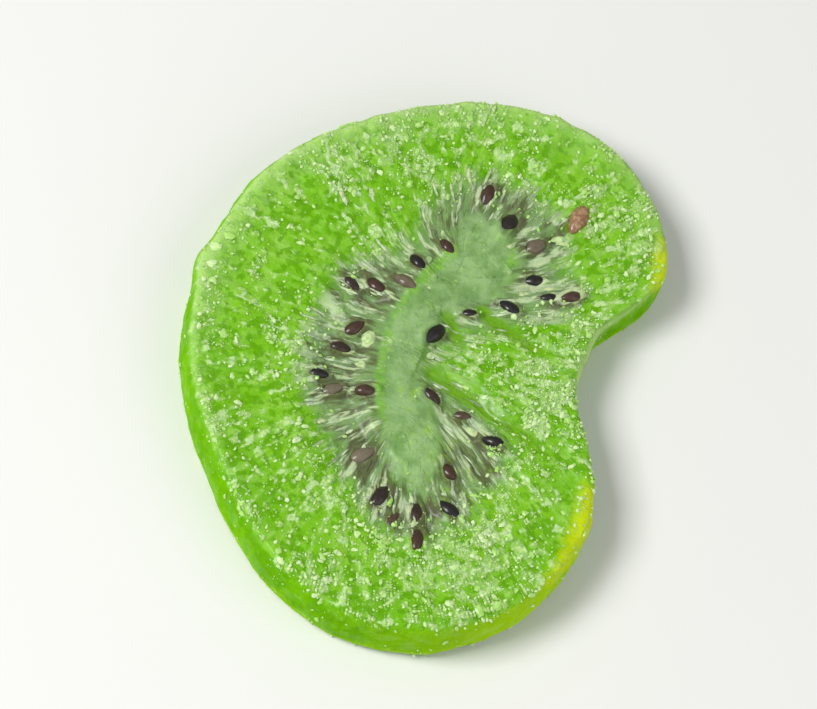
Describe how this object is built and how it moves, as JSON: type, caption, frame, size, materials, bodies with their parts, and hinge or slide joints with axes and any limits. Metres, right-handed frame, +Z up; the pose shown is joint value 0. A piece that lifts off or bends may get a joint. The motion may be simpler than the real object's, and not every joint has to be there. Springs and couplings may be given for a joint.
{
  "type": "dried kiwi slice",
  "caption": "Kidney-shaped slice of soft dried kiwi with a pale bent core, a ring of seeds and a drawn-in notch, to lie on a plate.",
  "frame": {"origin": "middle of the slice's box, on the surface it lies on", "axes": "+Z up, the slice lying on its underside; +Y along the slice; +X towards the notch"},
  "size_m": [0.0364, 0.0482, 0.0058],
  "materials": {
    "kiwi_flesh": "matt and sugar-frosted on the cut faces, smooth and waxy on the wall",
    "kiwi_seed": "glossy seed coat"
  },
  "bodies": {
    "root": {"kiwi_slice": "kiwi_flesh"}
  },
  "joints": []
}
